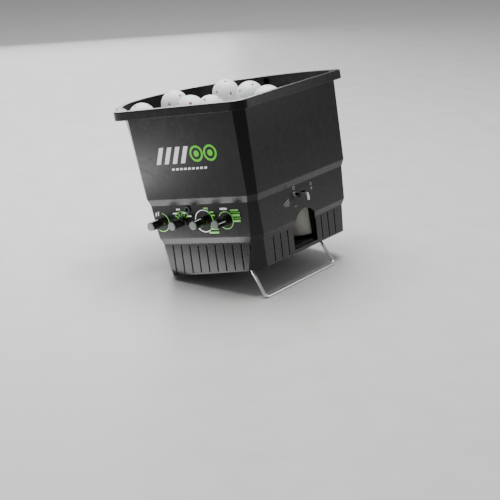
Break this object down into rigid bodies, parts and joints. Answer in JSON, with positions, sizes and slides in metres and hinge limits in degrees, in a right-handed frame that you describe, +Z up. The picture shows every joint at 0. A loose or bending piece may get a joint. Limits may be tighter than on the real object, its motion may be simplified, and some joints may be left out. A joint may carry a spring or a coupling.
{
  "type": "baseball pitching machine",
  "caption": "Tabletop ball pitching machine: open ball hopper over a tapered casing, long control knobs, arched exit, aiming lever and folding wire stand that tilts it.",
  "frame": {"origin": "floor level under the middle of the machine's outline as it stands on its rear feet and wire stand, ball load included", "axes": "+Z up; +X is the way the balls are pitched, out of the arched exit; -Y is the side with the control knobs. The casing leans back 10.5 degrees about Y as it does on its stand"},
  "size_m": [0.3334, 0.3084, 0.2948],
  "materials": {
    "black_plastic": "satin black moulded plastic",
    "black_trim": "matte black plastic",
    "knob_plastic": "gloss black",
    "knob_cap_grey": "light grey inlay",
    "chrome_wire": "bright plated wire",
    "steel": "plain steel",
    "zinc_screw": "zinc-plated fasteners",
    "brass_nut": "nickel-brass",
    "foam_tyre": "light beige foam rubber",
    "grip_pad": "dark foam",
    "foot_rubber": "matte black rubber",
    "inner_plastic": "dark grey moulded plastic",
    "feed_plastic": "grey moulded plastic",
    "board_green": "circuit board",
    "jack_dark": "dark gloss socket",
    "ball_white": "white practice ball plastic"
  },
  "bodies": {
    "machine": {"hopper_shell": "black_plastic", "feed_bowl": "inner_plastic", "drop_guard": "inner_plastic", "hopper_deck": "inner_plastic", "control_casing": "black_plastic", "base_shell": "black_plastic", "bottom_cover": "black_trim", "rubber_feet": "foot_rubber", "ball_channel": "inner_plastic", "drop_tube": "inner_plastic", "feed_gearbox": "steel", "feed_motor": "steel", "wheel_motor": "steel", "wheel_plate": "steel", "plate_posts": "steel", "aiming_rail_pin": "steel", "control_board": "board_green", "potentiometers": "steel", "potentiometer_nuts": "brass_nut", "power_jack": "jack_dark", "stand_clips": "black_trim", "cover_screws": "zinc_screw", "clip_screws": "zinc_screw", "post_screws": "zinc_screw", "wheel_motor_screws": "zinc_screw", "gearbox_screws": "zinc_screw", "deck_screws": "zinc_screw", "bowl_screws": "zinc_screw"},
    "pitching_wheel": {"pitching_wheel_hub": "feed_plastic", "pitching_wheel_tyre": "foam_tyre", "pitching_wheel_shaft": "steel"},
    "feed_wheel": {"feed_disc": "feed_plastic", "feed_agitator": "feed_plastic", "feed_shaft": "steel"},
    "aiming_rail_and_lever": {"aiming_rail": "inner_plastic", "aiming_rail_pad": "grip_pad", "aiming_lever": "chrome_wire"},
    "wire_stand": {"wire_stand": "chrome_wire"},
    "ball_load": {"practice_balls": "ball_white"},
    "speed_knob": {"speed_knob": "knob_plastic", "speed_knob_cap": "knob_cap_grey", "speed_knob_shaft": "steel"},
    "interval_knob": {"interval_knob": "knob_plastic", "interval_knob_cap": "knob_cap_grey", "interval_knob_shaft": "steel"},
    "program_knob": {"program_knob": "knob_plastic", "program_knob_cap": "knob_cap_grey", "program_knob_shaft": "steel"},
    "power_knob": {"power_knob": "knob_plastic", "power_knob_cap": "knob_cap_grey", "power_knob_shaft": "steel"}
  },
  "joints": [
    {"name": "pitching_wheel_spin", "type": "hinge", "parent": "machine", "child": "pitching_wheel", "pos_m": [0.10624, 0.0537, 0.07073], "axis": [-0.1822, 0, 0.9833], "continuous": true},
    {"name": "feed_wheel_turn", "type": "hinge", "parent": "machine", "child": "feed_wheel", "pos_m": [0.02494, -0.0008, 0.1472], "axis": [-0.1822, 0, 0.9833], "continuous": true},
    {"name": "aiming_lever_swing", "type": "hinge", "parent": "machine", "child": "aiming_rail_and_lever", "pos_m": [0.07175, -0.0293, 0.05925], "axis": [-0.1822, 0, 0.9833], "range_deg": [-4, 6]},
    {"name": "wire_stand_fold", "type": "hinge", "parent": "machine", "child": "wire_stand", "pos_m": [0.13024, -0.1118, 0.03999], "axis": [0, 1, 0], "range_deg": [0, 118]},
    {"name": "ball_load_lift", "type": "slide", "parent": "machine", "child": "ball_load", "axis": [-0.1822, 0, 0.9833], "range_m": [0, 0.26]},
    {"name": "speed_knob_turn", "type": "hinge", "parent": "machine", "child": "speed_knob", "pos_m": [-0.02226, -0.1256, 0.08912], "axis": [0, 1, 0], "range_deg": [-150, 150]},
    {"name": "interval_knob_turn", "type": "hinge", "parent": "machine", "child": "interval_knob", "pos_m": [0.01805, -0.1256, 0.09659], "axis": [0, 1, 0], "range_deg": [-150, 150]},
    {"name": "program_knob_turn", "type": "hinge", "parent": "machine", "child": "program_knob", "pos_m": [0.05787, -0.1256, 0.10397], "axis": [0, 1, 0], "range_deg": [-150, 150]},
    {"name": "power_knob_turn", "type": "hinge", "parent": "machine", "child": "power_knob", "pos_m": [0.09769, -0.1256, 0.11135], "axis": [0, 1, 0], "range_deg": [-150, 150]}
  ]
}
